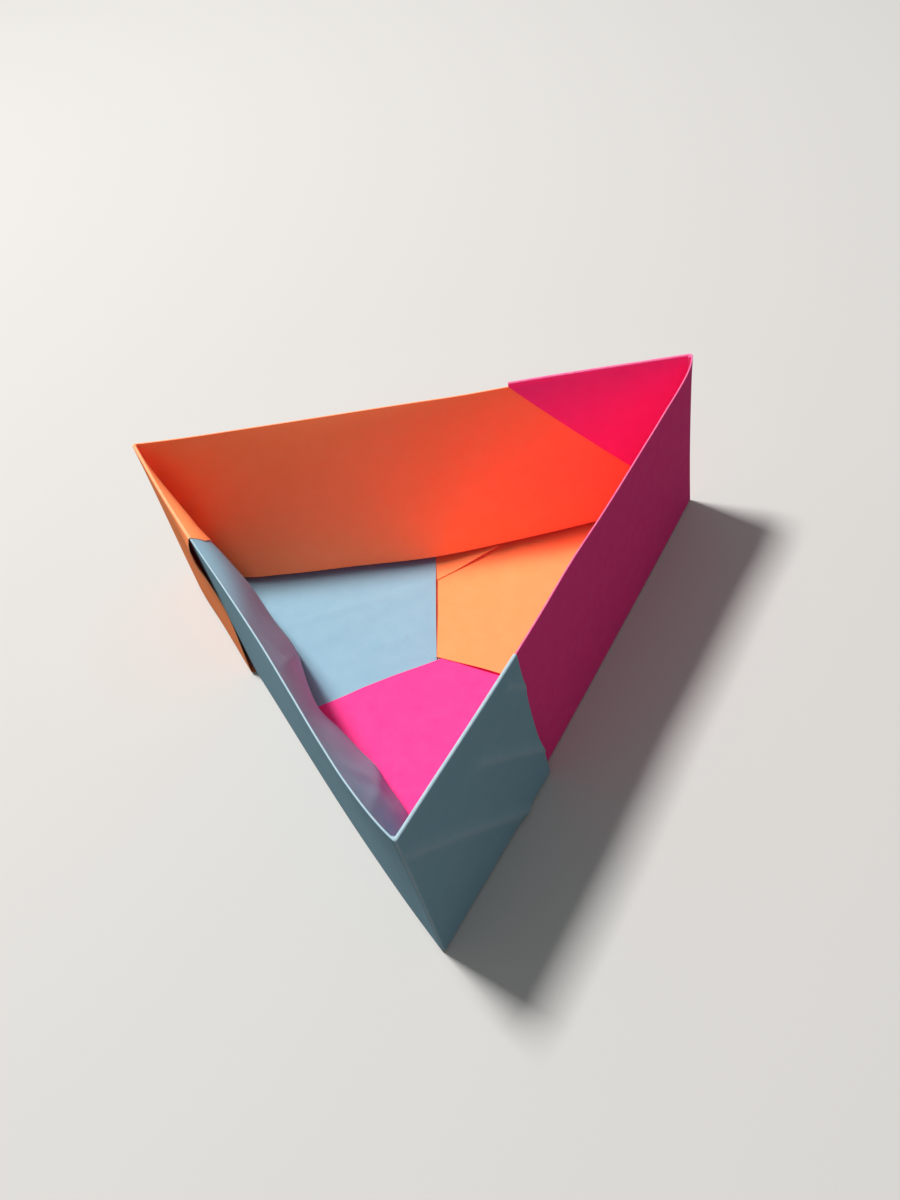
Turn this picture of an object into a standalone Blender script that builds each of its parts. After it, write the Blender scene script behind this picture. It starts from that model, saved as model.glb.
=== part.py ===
"""Triangular tray folded from three square sheets of paper.

Each sheet makes one wall of two layers joined by the rim fold, a flap that turns the corner and
grips the next wall on both sides, a base panel that covers half of the triangle, and a tongue that
the foot of the flap turns in under the next base panel. The three sheets are one fold, each turned
by a third of a turn from the last, and they lie over and under each other in a ring.

Sheet frame: x runs along the sheet's own wall from the corner where it starts, y points into the
tray and z is up. All heights and offsets are those of the middle of the paper's thickness.
"""

import math
from dataclasses import dataclass

import bmesh
import bpy
import numpy as np

# The folded tray
WALL_LENGTH = 0.1125
WALL_HEIGHT = 0.0375
FLAP_AT_RIM = 0.0350
FLAP_AT_FOOT = 0.0375
CENTRE_SHIFT = 0.0034  # the seams meet this far from the triangle's middle, towards the front corner

# The paper, and the air left between its layers
PAPER = 0.00012
SHEET_GAP = 0.0003  # between two sheets
LAYER_GAP = 0.0001  # between two layers of one sheet

# The folds
CORNER_SLACK = 0.0001  # the corner bends this much wider than the wall end that it wraps
FOOT_RADIUS = 0.0002  # crease between a wall and what it carries on the table
FOOT_SOFTNESS = 0.7  # how much rounder the flap's foot gets as the flap stands off the wall
SEAM_ARCH = 0.0006  # the base panel's free edge rises this much between its two ends
SEAM_ARCH_REACH = 0.0080  # and the rise dies away over this distance from the edge
CENTRE_RELIEF = 0.0006  # each panel stops this far short of the point where the seams meet
CLIMB_MARGIN = math.radians(7.0)  # each panel climbs only this far inside its own kite
RIDGE_WIDTH = 0.0025  # the base panel steps down over this width past the tongue below it
TONGUE_START = 0.0025  # the tongue leaves the flap's foot this far from the corner
TONGUE_REACH = 0.0660  # and reaches this far along the sheet's own wall
BASE_END = 0.0012  # the base panel leaves the wall's foot this far before the corner bend
FOOT_BOW_POWER = 8  # a pushed-out foot runs straight for most of its length

# Centre-to-centre distance of a sheet over another sheet, and of two layers of one sheet
OVER = PAPER + SHEET_GAP
DOUBLE = PAPER + LAYER_GAP

SIN60 = math.sin(math.radians(60.0))
TAN60 = math.tan(math.radians(60.0))
THIRD_TURN = 120.0
APOTHEM = WALL_LENGTH / (2.0 * TAN60)  # middle of the triangle to a wall

TABLE = PAPER / 2.0  # height of a layer that lies on the table
BASE_TOP = TABLE + OVER + DOUBLE  # a base panel over the neighbour's panel and tongue
LINING_FOOT = BASE_TOP + OVER  # the lining's raw edge just clears the base
RIM = WALL_HEIGHT - PAPER / 2.0

# The upright fold at a corner: each layer's bend is tangent to the wall and to the flap beside it
CORNER_RADIUS = OVER + CORNER_SLACK
OUTER_CENTRE_Y = CORNER_RADIUS - OVER
OUTER_CENTRE_X = (CORNER_RADIUS + OUTER_CENTRE_Y / 2.0) / SIN60
INNER_CENTRE_Y = CORNER_RADIUS + DOUBLE + OVER
INNER_CENTRE_X = (CORNER_RADIUS + DOUBLE + INNER_CENTRE_Y / 2.0) / SIN60

FLAP_SLANT = (FLAP_AT_FOOT - FLAP_AT_RIM) / WALL_HEIGHT  # the flap's free edge leans by this


@dataclass(frozen=True)
class Sheet:
    """What differs from sheet to sheet, since the tray was folded by hand."""

    name: str
    turn: float  # degrees about the tray's middle, from a wall along the front
    colour: tuple
    lining_lean: float  # how far the wall's inner layer leans in at its raw edge
    rim_bow: float  # how far the rim bulges out half-way along
    foot_bow: float  # how far the wall's foot is pushed out past the line between its corners
    flap_standoff: float  # how far the flap's free corner stands off the wall it covers
    seam_end_shift: float  # how far the base panel's free edge ends past the wall's middle


BLUE = Sheet("blue_sheet", -60.0, (0.33, 0.58, 0.72), 0.0088, 0.0006, 0.0011, 0.0015, 0.0)
PINK = Sheet("pink_sheet", 60.0, (0.92, 0.05, 0.38), 0.0070, 0.0012, 0.0, 0.0010, 0.0029)
ORANGE = Sheet("orange_sheet", 180.0, (0.95, 0.36, 0.14), 0.0080, 0.0005, 0.0, 0.0009, 0.0014)
RING = (BLUE, PINK, ORANGE)  # each sheet's flap covers the next one's wall


def ease(t):
    """0 up to t = 0, 1 from t = 1, and 3t^2 - 2t^3 between."""
    t = np.clip(t, 0.0, 1.0)
    return t * t * (3.0 - 2.0 * t)


def growing(start, end, first_step, ratio):
    """Points from start to end whose spacing starts at first_step and grows by ratio."""
    length = abs(end - start)
    count = max(2, round(math.log(1.0 + length * (ratio - 1.0) / first_step, ratio)))
    steps = ratio ** np.arange(count)
    return start + (end - start) * np.concatenate(([0.0], np.cumsum(steps))) / steps.sum()


def spaced(values, keep, spacing):
    """The values in order, without those that lie nearer than spacing to one of keep."""
    far = [v for v in values if min(abs(v - k) for k in keep) > spacing]
    return np.array(sorted(far + list(keep)))


def from_next(x, y):
    """A plan point of the next sheet's frame, in this sheet's own frame."""
    return WALL_LENGTH - x / 2.0 - SIN60 * y, SIN60 * x - y / 2.0


def turned(x, y, degrees):
    """A plan point turned about the tray's middle."""
    angle = math.radians(degrees)
    cos, sin = math.cos(angle), math.sin(angle)
    return cos * x - sin * y, sin * x + cos * y


# Where a sheet's wall starts and ends: its own bend, and the bend of the sheet before it
WALL_START = OUTER_CENTRE_X
OUTER_END, _ = from_next(OUTER_CENTRE_X, OUTER_CENTRE_Y)
INNER_END, _ = from_next(INNER_CENTRE_X, INNER_CENTRE_Y)


def broad(t, power=3):
    """0 at t = 0 and t = 1, and nearly 1 between: over more of the way, the higher the power."""
    return 1.0 - np.abs(2.0 * np.clip(t, 0.0, 1.0) - 1.0) ** power


def wall_y(sheet, x, z):
    """The outer layer's plan offset: the foot's bow turns into the rim's bulge on the way up."""
    along = (x - WALL_START) / (OUTER_END - WALL_START)
    up = (z / RIM) ** 2
    return -sheet.foot_bow * broad(along, FOOT_BOW_POWER) * (1.0 - up) - sheet.rim_bow * broad(along) * up


def rim_height(x):
    """The wall's rim runs under the flap before it, then rises to its own flap."""
    return RIM - OVER * (1.0 - ease((x - FLAP_AT_RIM) / (OUTER_END - FLAP_AT_RIM)))


def lining_y(sheet, x, z):
    """The inner layer's plan offset: it hangs from the rim fold and leans in towards its foot."""
    along = (x - WALL_START) / (INNER_END - WALL_START)
    spring = rim_height(x) - DOUBLE / 2.0
    down = np.clip((spring - z) / (spring - LINING_FOOT), 0.0, 1.0)
    return wall_y(sheet, x, z) + DOUBLE + sheet.lining_lean * broad(along) * down


class BasePanel:
    """The plan and the height of one sheet's base panel, in that sheet's frame.

    The three panels turn round the point where the seams meet like the flaps of a carton. Each
    lies on the table from the next panel's seam on, climbs in its own kite, and lies over the
    panel before it as far as its own free edge.
    """

    def __init__(self, sheet, following):
        shift = turned(0.0, -CENTRE_SHIFT, -sheet.turn)
        self.centre = (WALL_LENGTH / 2.0 + shift[0], APOTHEM + shift[1])
        own_end = WALL_LENGTH / 2.0 + sheet.seam_end_shift
        self.seam_end = (own_end / 2.0, own_end * SIN60)
        next_end = WALL_LENGTH / 2.0 + following.seam_end_shift
        self.next_seam_end = (WALL_LENGTH - next_end, 0.0)
        self.seam_angle = self.angle_of(*self.seam_end)
        self.climb_start = self.sweep(0.0, 0.0) + CLIMB_MARGIN
        self.climb_end = self.sweep(*self.next_seam_end) - CLIMB_MARGIN
        self.far_sweep = self.sweep(WALL_LENGTH, 0.0)
        inward = self.seam_angle + self.far_sweep / 2.0
        self.edge_bend = (
            self.centre[0] + CENTRE_RELIEF * math.cos(inward),
            self.centre[1] + CENTRE_RELIEF * math.sin(inward),
        )
        self.seam_length = math.dist(self.centre, self.seam_end) - sheet.lining_lean

    def angle_of(self, x, y):
        return np.arctan2(y - self.centre[1], x - self.centre[0])

    def sweep(self, x, y):
        """Angle about the centre, in radians, counted from the free edge's visible half."""
        return np.mod(self.angle_of(x, y) - self.seam_angle, 2.0 * math.pi)

    def edge_y(self, x):
        """The free edge: seam end, then the centre, then the sheet's own corner."""
        near = (self.edge_bend[1] - self.seam_end[1]) / (self.edge_bend[0] - self.seam_end[0])
        far = self.edge_bend[1] / (self.edge_bend[0] - WALL_LENGTH)
        before = self.seam_end[1] + near * (x - self.seam_end[0])
        after = far * (x - WALL_LENGTH)
        return np.where(x < self.edge_bend[0], before, after)

    def side_y(self, x):
        """The side that stops short of the wall before it."""
        return TAN60 * x - 2.0 * OVER

    def depth(self, x):
        return np.minimum(self.edge_y(x), self.side_y(x))

    def shoulder_x(self):
        """Where the side meets the free edge."""
        slope = (self.edge_bend[1] - self.seam_end[1]) / (self.edge_bend[0] - self.seam_end[0])
        return (self.seam_end[1] - slope * self.seam_end[0] + 2.0 * OVER) / (TAN60 - slope)

    def height(self, x, y):
        """Table height, plus the climb, the step over the tongue, and the free edge's arch."""
        sweep = self.sweep(x, y)
        climb_width = self.climb_end - self.climb_start
        lift = 1.0 - ease((sweep - self.climb_start) / climb_width)
        lift = np.where(sweep > self.far_sweep + math.pi / 4.0, 1.0, lift)
        past_tongue = x - (FLAP_AT_FOOT + FLAP_SLANT * y) - SHEET_GAP
        ridge = 1.0 - ease(past_tongue / RIDGE_WIDTH)
        reach = np.hypot(x - self.centre[0], y - self.centre[1])
        along = np.clip(reach * np.cos(sweep) / self.seam_length, 0.0, 1.0)
        from_edge = reach * np.sin(sweep) / SEAM_ARCH_REACH
        arch = SEAM_ARCH * np.sin(math.pi * along) ** 2 * np.exp(-(from_edge**2))
        arch = np.where(sweep < self.climb_start, arch, 0.0)
        return TABLE + OVER * lift + DOUBLE * ridge + arch

    def past_far_edge(self, x, y):
        """Distance beyond the half of the free edge that runs to the sheet's own corner."""
        run = math.dist(self.centre, (WALL_LENGTH, 0.0))
        dx = (WALL_LENGTH - self.centre[0]) / run
        dy = -self.centre[1] / run
        return dx * (y - self.centre[1]) - dy * (x - self.centre[0])


def foot_arc(start_y, foot_z, radius, segments):
    """The crease from an upright wall to the table: a quarter circle, top to bottom."""
    turn = np.linspace(0.0, math.pi / 2.0, segments + 1)[:, None]
    return start_y + radius * (1.0 - np.cos(turn)), foot_z + radius * (1.0 - np.sin(turn))


def upright_rows(outer_xy, inner_xy, foot_z, spring_z, rise, lining_foot_z, steps):
    """One row of points for each station: up the outer layer, over the rim, down the lining.

    outer_xy and inner_xy give the plan points of a layer at heights z, for all stations at once.
    The rim fold is half a turn from the outer layer to the lining, which rises by rise.
    """
    outer_steps, fold_steps, lining_steps = steps
    rows = []
    for share in np.linspace(0.0, 1.0, outer_steps + 1):
        z = foot_z + share * (spring_z - foot_z)
        x, y = outer_xy(z)
        rows.append((x, y, z))
    outer_x, outer_y = outer_xy(spring_z)
    inner_x, inner_y = inner_xy(spring_z)
    for turn in np.linspace(0.0, math.pi, fold_steps + 1)[1:-1]:
        share = (1.0 - math.cos(turn)) / 2.0
        x = outer_x + share * (inner_x - outer_x)
        y = outer_y + share * (inner_y - outer_y)
        rows.append((x, y, spring_z + rise * math.sin(turn)))
    for share in np.linspace(0.0, 1.0, lining_steps + 1):
        z = spring_z + share * (lining_foot_z - spring_z)
        x, y = inner_xy(z)
        rows.append((x, y, z))
    return np.array([np.stack(np.broadcast_arrays(*row), axis=-1) for row in rows])


UPRIGHT_STEPS = (3, 4, 4)  # segments up the outer layer, over the rim and down the lining
FOOT_STEPS = 2
DEPTH_RATIO = 1.6  # rows of a base panel widen by this from its free edge to the wall
EDGE_STEP = 0.0004  # the row and the column nearest to the centre are this wide
COLUMN_RATIO = 1.7


def flap_shares():
    """Shares of the flap's length: close to the corner first, then even."""
    first = (TONGUE_START - WALL_START) / (FLAP_AT_FOOT - WALL_START)
    return np.array([0.0, first, 0.08, 0.18, 0.3, 0.43, 0.57, 0.71, 0.83, 0.92, 1.0])


def wall_stations(panel):
    """Stations along the wall: those of the flap that grips it, then closer up to the seams."""
    middle = float(panel.edge_bend[0])
    base_end = OUTER_END - BASE_END
    gripped = list(WALL_START + flap_shares()[2:-1] * (FLAP_AT_RIM - WALL_START))
    ridge_end = FLAP_AT_FOOT + RIDGE_WIDTH + SHEET_GAP
    ridge = [ridge_end - RIDGE_WIDTH * share for share in (1.0, 0.66, 0.33, 0.0)]
    keep = [WALL_START, float(panel.shoulder_x()), middle, base_end, OUTER_END] + ridge
    near = list(growing(middle, ridge_end, EDGE_STEP, COLUMN_RATIO))
    far = list(growing(middle, base_end, EDGE_STEP, COLUMN_RATIO))
    end = [middle + (base_end - middle) * share for share in (0.35, 0.5, 0.65, 0.76, 0.86, 0.94)]
    return spaced(gripped + near + far + end, keep, EDGE_STEP), base_end


def wall_upright(sheet, panel, stations):
    """The sheet's own wall, from the pocket of the sheet before it to its own corner."""
    share = (stations - WALL_START) / (OUTER_END - WALL_START)
    inner_x = WALL_START + share * (INNER_END - WALL_START)
    foot = panel.height(stations, wall_y(sheet, stations, 0.0) + FOOT_RADIUS) + FOOT_RADIUS
    spring = rim_height(stations) - DOUBLE / 2.0

    def outer_xy(z):
        return stations, wall_y(sheet, stations, z)

    def inner_xy(z):
        return inner_x, lining_y(sheet, inner_x, z)

    rise = DOUBLE / 2.0
    lining_foot = np.full_like(stations, LINING_FOOT)
    return upright_rows(outer_xy, inner_xy, foot, spring, rise, lining_foot, UPRIGHT_STEPS)


def corner_upright():
    """The upright fold: both layers go a third of a turn round, and the roof between widens."""
    share = np.array([0.2, 0.4, 0.6, 0.8])
    angle = np.radians(-90.0 + THIRD_TURN * share)
    outer_centre = np.array(from_next(OUTER_CENTRE_X, OUTER_CENTRE_Y))
    inner_centre = np.array(from_next(INNER_CENTRE_X, INNER_CENTRE_Y))
    outward = np.array([np.cos(angle), np.sin(angle)])
    half_roof = (outer_centre - inner_centre) @ outward / 2.0

    def outer_xy(z):
        return outer_centre[:, None] + CORNER_RADIUS * outward

    def inner_xy(z):
        return inner_centre[:, None] + CORNER_RADIUS * outward

    foot = np.full_like(share, TABLE + FOOT_RADIUS)
    lining_foot = np.full_like(share, LINING_FOOT)
    spring = RIM - half_roof
    return upright_rows(outer_xy, inner_xy, foot, spring, half_roof, lining_foot, UPRIGHT_STEPS)


def flap_standoff(sheet, x, z):
    """The flap lies on the wall at the corner and the rim, and stands off at its free foot."""
    along = np.clip((x - WALL_START) / (FLAP_AT_FOOT - WALL_START), 0.0, 1.0)
    return sheet.flap_standoff * along * (1.0 - np.clip(z / RIM, 0.0, 1.0))


def flap_upright(sheet, following, share):
    """The flap outside the next wall, the roof over its rim, and the flap's lining inside it.

    The lining is folded back along the line from the flap's end at the rim to the corner's foot,
    which leaves a right triangle. Both layers follow the wall that they grip.
    """
    at_rim = WALL_START + share * (FLAP_AT_RIM - WALL_START)
    at_foot = WALL_START + share * (FLAP_AT_FOOT - WALL_START)
    lined = INNER_CENTRE_X + share * (FLAP_AT_RIM - INNER_CENTRE_X)
    half_roof = DOUBLE / 2.0 + OVER
    spring = RIM - half_roof

    def outer_xy(z):
        x = at_foot + (at_rim - at_foot) * np.clip(z / spring, 0.0, 1.0)
        y = wall_y(following, x, z) - OVER - flap_standoff(sheet, x, z)
        return from_next(x, y)

    def inner_xy(z):
        return from_next(lined, lining_y(following, lined, z) + OVER)

    foot_radius = FOOT_RADIUS + FOOT_SOFTNESS * flap_standoff(sheet, at_foot, 0.0)
    folded_edge = LINING_FOOT + (spring - LINING_FOOT) * share * 0.97
    return upright_rows(
        outer_xy, inner_xy, TABLE + foot_radius, spring, half_roof, folded_edge, UPRIGHT_STEPS
    )


def base_rows(panel, stations, foot_points):
    """The base panel, carried in from the wall's foot crease to its side and its free edge."""
    arc_y, arc_z = foot_arc(foot_points[:, 1], foot_points[:, 2] - FOOT_RADIUS, FOOT_RADIUS, FOOT_STEPS)
    arc = np.stack([np.broadcast_to(stations, arc_y.shape), arc_y, arc_z], axis=-1)
    near = foot_points[:, 1] + FOOT_RADIUS
    deepest = float(panel.depth(np.array([panel.edge_bend[0]]))[0])
    shares = 1.0 - growing(0.0, deepest, EDGE_STEP, DEPTH_RATIO)[::-1] / deepest
    rows = [arc[:-1]]
    for share in shares:
        y = near + share * (panel.depth(stations) - near)
        rows.append(np.stack([stations, y, panel.height(stations, y)], axis=-1)[None])
    return np.concatenate(rows)


def tongue_rows(sheet, following, panel, share, foot_points):
    """The tongue: from the flap's foot, under the next wall, over the sheet's own base panel.

    Its far side runs beside the sheet's own wall and its raw edge carries on the line of the
    flap's free edge, mirrored in the crease between them.
    """
    at_foot = WALL_START + share * (FLAP_AT_FOOT - WALL_START)
    radius = FOOT_RADIUS + FOOT_SOFTNESS * flap_standoff(sheet, at_foot, 0.0)
    start_y = wall_y(following, at_foot, TABLE + radius) - OVER
    start_y -= flap_standoff(sheet, at_foot, TABLE + radius)
    slant = FLAP_SLANT * at_foot / FLAP_AT_FOOT
    side_gap = FOOT_RADIUS + DOUBLE
    far_y = (TAN60 * at_foot - 2.0 * side_gap) / (1.0 - TAN60 * slant)
    far_y = np.minimum(far_y, TONGUE_REACH * SIN60)
    arc_y, arc_z = foot_arc(start_y, TABLE, radius, FOOT_STEPS)
    arc_x, arc_y = from_next(np.broadcast_to(at_foot, arc_y.shape), arc_y)
    rows = [np.stack([arc_x, arc_y, arc_z], axis=-1)[:-1]]
    rows[0][0] = foot_points
    near = start_y + radius
    for step in (0.0, 0.04, 0.15, 0.3, 0.45, 0.6, 0.8, 1.0):
        y = near + step * (far_y - near)
        x = at_foot + slant * np.maximum(y, 0.0)
        own_x, own_y = from_next(x, y)
        beyond = np.maximum(panel.past_far_edge(own_x, own_y) - SHEET_GAP, 0.0)
        inside = np.maximum(y, 0.0)
        ramp = inside / np.maximum(inside + beyond, PAPER)
        z = TABLE + ramp * (panel.height(own_x, own_y) - TABLE + DOUBLE)
        rows.append(np.stack([own_x, own_y, z], axis=-1)[None])
    return np.concatenate(rows)


def add_grid(mesh, points):
    """Adds a grid of quads through points, given as rows of stations."""
    rows, columns, _ = points.shape
    verts = [[mesh.verts.new(point) for point in row] for row in points.tolist()]
    for r in range(rows - 1):
        for c in range(columns - 1):
            mesh.faces.new((verts[r][c], verts[r][c + 1], verts[r + 1][c + 1], verts[r + 1][c]))


def fold_sheet(sheet, following):
    """Builds one sheet's surface from its grids, joins them and gives the paper its thickness."""
    panel = BasePanel(sheet, following)
    stations, base_end = wall_stations(panel)
    share = flap_shares()
    wall = wall_upright(sheet, panel, stations)
    flap = flap_upright(sheet, following, share)
    on_base = stations <= base_end + EDGE_STEP / 2.0
    base = base_rows(panel, stations[on_base], wall[0][on_base])
    tongue = tongue_rows(sheet, following, panel, share[1:], flap[0][1:])

    mesh = bmesh.new()
    add_grid(mesh, np.concatenate([wall, corner_upright(), flap], axis=1))
    add_grid(mesh, base[:, ::-1])
    add_grid(mesh, tongue[:, ::-1])
    for vert in mesh.verts:
        vert.co.x -= WALL_LENGTH / 2.0
        vert.co.y -= APOTHEM
    bmesh.ops.remove_doubles(mesh, verts=mesh.verts, dist=PAPER / 100.0)
    data = bpy.data.meshes.new(sheet.name)
    mesh.to_mesh(data)
    mesh.free()
    data.shade_smooth()
    data.set_sharp_from_angle(angle=math.radians(40.0))
    return data


def paper_material(sheet):
    """Matt coloured paper, dyed through."""
    material = bpy.data.materials.new(sheet.name + "_paper")
    material.use_nodes = True
    shader = material.node_tree.nodes["Principled BSDF"]
    shader.inputs["Base Color"].default_value = (*sheet.colour, 1.0)
    shader.inputs["Roughness"].default_value = 0.8
    shader.inputs["Metallic"].default_value = 0.0
    material.diffuse_color = (*sheet.colour, 1.0)
    return material


def build():
    for old in list(bpy.data.objects):
        bpy.data.objects.remove(old)
    for place, sheet in enumerate(RING):
        following = RING[(place + 1) % len(RING)]
        piece = bpy.data.objects.new(sheet.name, fold_sheet(sheet, following))
        piece.rotation_euler = (0.0, 0.0, math.radians(sheet.turn))
        piece.data.materials.append(paper_material(sheet))
        thickness = piece.modifiers.new("Paper thickness", "SOLIDIFY")
        thickness.thickness = PAPER
        thickness.offset = 0.0
        thickness.use_even_offset = True
        thickness.use_rim = True
        bpy.context.scene.collection.objects.link(piece)


build()
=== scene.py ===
import math
from types import SimpleNamespace

import bmesh
import bpy
import numpy as np
from mathutils import Matrix, Vector


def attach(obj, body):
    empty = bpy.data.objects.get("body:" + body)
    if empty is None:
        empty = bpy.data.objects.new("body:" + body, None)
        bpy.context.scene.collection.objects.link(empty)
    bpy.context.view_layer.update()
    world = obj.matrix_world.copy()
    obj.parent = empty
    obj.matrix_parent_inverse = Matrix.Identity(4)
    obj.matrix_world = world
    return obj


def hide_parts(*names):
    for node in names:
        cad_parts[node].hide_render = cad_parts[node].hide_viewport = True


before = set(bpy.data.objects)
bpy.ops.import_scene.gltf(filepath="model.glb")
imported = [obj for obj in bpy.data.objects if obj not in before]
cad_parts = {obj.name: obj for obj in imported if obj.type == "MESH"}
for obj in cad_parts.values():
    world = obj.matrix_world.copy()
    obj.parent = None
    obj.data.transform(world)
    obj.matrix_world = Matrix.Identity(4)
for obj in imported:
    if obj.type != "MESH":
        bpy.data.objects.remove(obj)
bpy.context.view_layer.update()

# Blue sheet: a square of light blue paper, folded by hand. It makes the left wall of two layers with
# a fold along the rim, the flap that wraps the front corner and grips the pink wall on both sides,
# and the left third of the base. It is held by its folds alone.
SQUARE = 0.150  # side of the sheet
WALL_LENGTH = SQUARE * 3 / 4
WALL_HEIGHT = SQUARE / 4
PAPER = 0.00012  # thickness of the sheet
SHEET_GAP = 0.00006  # air between two sheets
OVER = PAPER + SHEET_GAP  # from the middle of one sheet to the middle of the sheet over it
DOUBLE = 0.00024  # from one layer to the next where a sheet is folded flat
RIM_FOLD = 0.00022  # the rim fold springs open this wide
CORNER_RADIUS = 0.00028  # bend of the upright folds
FOOT_RADIUS = 0.00030  # crease between a wall and what it carries on the table
FOOT_SOFTNESS = 0.7  # the flap's foot gets rounder by this share of its stand-off
FLAP_AT_RIM = 0.0350  # the flap reaches this far past its corner at the rim
FLAP_AT_FOOT = 0.0375  # and this far at the foot
UNDER_FLAP = 0.002  # a wall's rim stays low for this far past the flap that grips it
RISE_LENGTH = 0.022  # the rim climbs to a raised corner over this length
RIM_SHOULDER = 0.0030  # where the rim gapes, it turns down into the lining over this drop
LINING_BELLY = 0.06  # the lining's belly, as a share of how far it leans in
LINING_FOLD_END = 0.97  # its old folds fall off no further past this share of the way down
SLANT_END = 0.030  # the lining's diagonal folds turn upright over this length before its far end
CENTRE_SHIFT = 0.0034  # the seams of the base meet this far in front of the tray's middle
SEAM_ARCH = 0.00060  # a base panel's free edge rises this much on its way
SEAM_ARCH_END = 0.0080  # is down again this far before the wall
SEAM_ARCH_REACH = 0.0080  # and the rise dies away over this distance from the edge
CENTRE_RELIEF = 0.0003  # each panel stops this far short of the point where the seams meet
CLIMB_MARGIN = math.radians(7.0)  # each panel climbs only this far inside its own third
RIDGE_WIDTH = 0.0040  # the base steps down over this width past the tongue below it
TONGUE_START = 0.0012  # the tongue leaves the flap's foot this far from the corner
TONGUE_REACH = 0.0660  # and reaches this far along the sheet's own wall
TONGUE_BARE = 0.0440  # past this depth no panel lies over the tongue, and its tip can lift
BASE_END = 0.0012  # the base panel leaves the wall's foot this far before the corner

SIN60 = math.sin(math.radians(60.0))
TAN60 = math.tan(math.radians(60.0))
APOTHEM = WALL_LENGTH / (2.0 * TAN60)  # from the tray's middle to a wall
TABLE = PAPER / 2.0  # height of a layer that lies on the table
RIM = WALL_HEIGHT - PAPER / 2.0
FLAP_SLANT = (FLAP_AT_FOOT - FLAP_AT_RIM) / WALL_HEIGHT
# An upright fold bends round the end of the next wall in two arcs. These are the arcs' centres in
# the next wall's frame, where each arc ends level with the layer that it goes on into.
OUTER_CENTRE_Y = CORNER_RADIUS - OVER
OUTER_CENTRE_X = (CORNER_RADIUS + OUTER_CENTRE_Y / 2.0) / SIN60
INNER_CENTRE_Y = CORNER_RADIUS + RIM_FOLD + OVER
INNER_CENTRE_X = (CORNER_RADIUS + RIM_FOLD + INNER_CENTRE_Y / 2.0) / SIN60
WALL_START = OUTER_CENTRE_X


def ease(t):
    """0 up to t = 0, 1 from t = 1, and 3t^2 - 2t^3 between."""
    t = np.clip(t, 0.0, 1.0)
    return t * t * (3.0 - 2.0 * t)


def smooth_through(points, x):
    """A curve through (place, value) points: between two points a cubic, whose slope at each point
    is that of the values around it. Before the first and past the last point the value stays."""
    places, values = np.array(points).T
    slopes = np.gradient(values, places)
    before = np.clip(np.searchsorted(places, x) - 1, 0, len(places) - 2)
    span = places[before + 1] - places[before]
    t = np.clip((x - places[before]) / span, 0.0, 1.0)
    start = values[before] * (1.0 + 2.0 * t) * (1.0 - t) ** 2
    end = values[before + 1] * t**2 * (3.0 - 2.0 * t)
    leave = slopes[before] * span * t * (1.0 - t) ** 2
    arrive = slopes[before + 1] * span * t**2 * (1.0 - t)
    return start + end + leave - arrive


def from_next(x, y):
    """A plan point of the next wall's frame in this wall's frame: turned by 120 degrees about the
    far end. In a wall's frame x runs along its foot, y points into the tray and z is up."""
    return WALL_LENGTH - x / 2.0 - SIN60 * y, SIN60 * x - y / 2.0


OUTER_END, _ = from_next(OUTER_CENTRE_X, OUTER_CENTRE_Y)
INNER_END, _ = from_next(INNER_CENTRE_X, INNER_CENTRE_Y)


def turned(x, y, degrees):
    """A plan point turned about the tray's middle."""
    angle = math.radians(degrees)
    return math.cos(angle) * x - math.sin(angle) * y, math.sin(angle) * x + math.cos(angle) * y


CREASE_FADE = 0.1  # a fold line fades out over this share of its length past its ends


def crease(x, z, start, end, height, width):
    """An old fold line: a ridge that falls off as e^(-distance / width) on both sides of the line
    from start to end, and that fades out past its two ends."""
    run = math.dist(start, end)
    along = ((x - start[0]) * (end[0] - start[0]) + (z - start[1]) * (end[1] - start[1])) / run**2
    beside = ((x - start[0]) * (end[1] - start[1]) - (z - start[1]) * (end[0] - start[0])) / run
    inside = ease(1.0 + along / CREASE_FADE) * ease(1.0 + (1.0 - along) / CREASE_FADE)
    return height * np.exp(-np.abs(beside) / width) * inside


LONG_WAVE = 0.041
LONG_WAVE_HEIGHT = 0.00012
SHORT_WAVE = 0.023
SHORT_WAVE_HEIGHT = 0.00004
SHORT_WAVE_LEAN = 0.060  # up this much, the short wave has moved on by its length
CALM_END = 0.007


def hand_waves(x, z, phase):
    """The unevenness that pressing by hand leaves: the sum of a long upright sine wave along the wall
    and a short one that leans. Both go with sin(pi * height / wall height), and ease off over CALM_END
    at both ends of the wall, where the upright folds hold it straight."""
    long_wave = np.sin(2.0 * math.pi * (x / LONG_WAVE + phase))
    short_wave = np.sin(2.0 * math.pi * (x / SHORT_WAVE + z / SHORT_WAVE_LEAN + 2.0 * phase))
    waves = LONG_WAVE_HEIGHT * long_wave + SHORT_WAVE_HEIGHT * short_wave
    ends = ease((x - WALL_START) / CALM_END) * ease((OUTER_END - x) / CALM_END)
    return waves * np.sin(math.pi * z / WALL_HEIGHT) * ends


def wall_y(wall, x, z):
    """Plan offset of a wall's outer layer: the foot line's offset, which turns into that of the rim
    line with (z / rim)^2, plus the waves."""
    z = np.clip(z, 0.0, RIM)
    up = (z / RIM) ** 2
    offset = smooth_through(wall.foot_line, x) * (1.0 - up) + smooth_through(wall.rim_line, x) * up
    return offset + hand_waves(x, z, wall.phase)


def rim_height(wall, x):
    """Height of a wall's rim: one sheet lower under the flap that grips it, then easing up, and up
    by corner_rise more at its own corner."""
    past_flap = (x - FLAP_AT_RIM - UNDER_FLAP) / (WALL_LENGTH - FLAP_AT_RIM)
    rise = wall.corner_rise * ease(1.0 - (WALL_LENGTH - x) / RISE_LENGTH)
    return RIM - OVER * (1.0 - ease(past_flap)) + rise


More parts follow.
